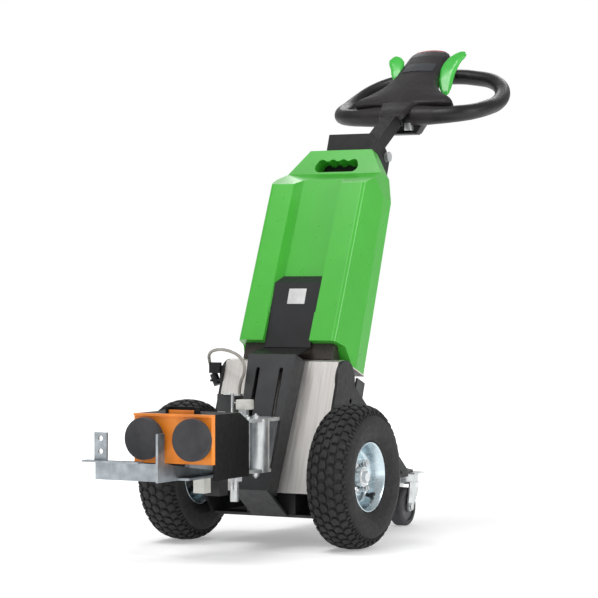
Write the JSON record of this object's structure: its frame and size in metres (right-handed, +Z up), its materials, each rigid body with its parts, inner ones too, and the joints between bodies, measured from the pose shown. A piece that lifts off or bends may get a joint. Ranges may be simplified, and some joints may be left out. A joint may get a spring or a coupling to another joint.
{
  "type": "electric tow tractor",
  "caption": "Hand-guided battery tow tractor: pneumatic drive wheels, leaning mast with moulded green cover, ring tiller and a swivelling coupling head.",
  "frame": {"origin": "On the floor under the middle of the whole length and width.", "axes": "+Z up, -Y towards the coupling end, +Y towards the tiller, X across along the wheel axle."},
  "size_m": [0.4312, 1.192, 0.9638],
  "materials": {
    "frame_grey": "satin",
    "mast_black": "satin",
    "stainless": "brushed",
    "cast": "rough",
    "battery": "matte",
    "cover_green": "gloss",
    "blank": "matte",
    "black_plastic": "textured",
    "red": "gloss",
    "orange": "satin",
    "disc_grey": "matte",
    "cable": "matte",
    "zinc": "zinc plated",
    "tyre": "matte",
    "castor_rubber": "matte",
    "castor_core": "matte"
  },
  "bodies": {
    "chassis": {"base_frame": "frame_grey", "battery_pack": "battery", "blank_plate": "blank", "box_skin": "stainless", "cable": "cable", "cable_gland": "zinc", "cable_socket": "black_plastic", "castor_top_left": "zinc", "castor_top_right": "zinc", "coupling_bracket": "zinc", "cover": "cover_green", "drive_unit": "cast", "front_column": "frame_grey", "front_panel": "mast_black", "gland_bracket": "mast_black", "king_bolt": "zinc", "pivot_bolt": "zinc", "rear_mast": "mast_black", "rear_panel": "frame_grey", "release_plate": "frame_grey", "side_plate_left": "frame_grey", "side_plate_right": "frame_grey", "socket_bracket": "mast_black"},
    "wheel_left": {"tyre_left": "tyre", "rim_left": "zinc", "hub_left": "zinc"},
    "wheel_right": {"tyre_right": "tyre", "rim_right": "zinc", "hub_right": "zinc"},
    "castor_left": {"castor_fork_left": "zinc"},
    "castor_right": {"castor_fork_right": "zinc"},
    "castor_wheel_left": {"castor_core_left": "castor_core", "castor_tyre_left": "castor_rubber"},
    "castor_wheel_right": {"castor_core_right": "castor_core", "castor_tyre_right": "castor_rubber"},
    "tiller": {"stem": "mast_black", "tiller_ring": "black_plastic", "tiller_head": "black_plastic", "switch_strip": "red", "thumb_lever_left": "cover_green", "thumb_lever_right": "cover_green", "head_mount": "zinc"},
    "coupling_head": {"swivel_arm": "zinc", "coupling_housing": "black_plastic", "coupling_front": "orange", "release_tab": "orange", "coupling_pad_left": "disc_grey", "coupling_pad_right": "disc_grey", "hook_bracket": "zinc", "sensor_block": "blank", "lock_block": "black_plastic"}
  },
  "joints": [
    {"name": "wheel_left_spin", "type": "hinge", "parent": "chassis", "child": "wheel_left", "pos_m": [-0.173, -0.184, 0.13], "axis": [1, 0, 0], "continuous": true},
    {"name": "castor_left_swivel", "type": "hinge", "parent": "chassis", "child": "castor_left", "pos_m": [-0.07, 0.256, 0.08], "axis": [0, 0, 1], "continuous": true},
    {"name": "castor_left_roll", "type": "hinge", "parent": "castor_left", "child": "castor_wheel_left", "pos_m": [-0.07, 0.236, 0.0375], "axis": [1, 0, 0], "continuous": true},
    {"name": "wheel_right_spin", "type": "hinge", "parent": "chassis", "child": "wheel_right", "pos_m": [0.173, -0.184, 0.13], "axis": [1, 0, 0], "continuous": true},
    {"name": "castor_right_swivel", "type": "hinge", "parent": "chassis", "child": "castor_right", "pos_m": [0.07, 0.256, 0.08], "axis": [0, 0, 1], "continuous": true},
    {"name": "castor_right_roll", "type": "hinge", "parent": "castor_right", "child": "castor_wheel_right", "pos_m": [0.07, 0.236, 0.0375], "axis": [1, 0, 0], "continuous": true},
    {"name": "tiller_tilt", "type": "hinge", "parent": "chassis", "child": "tiller", "pos_m": [0, 0.212, 0.723], "axis": [1, 0, 0], "range_deg": [-30, 45]},
    {"name": "coupling_swivel", "type": "hinge", "parent": "chassis", "child": "coupling_head", "pos_m": [0, -0.312, 0.18], "axis": [0, 0, 1], "range_deg": [-35, 35]}
  ]
}
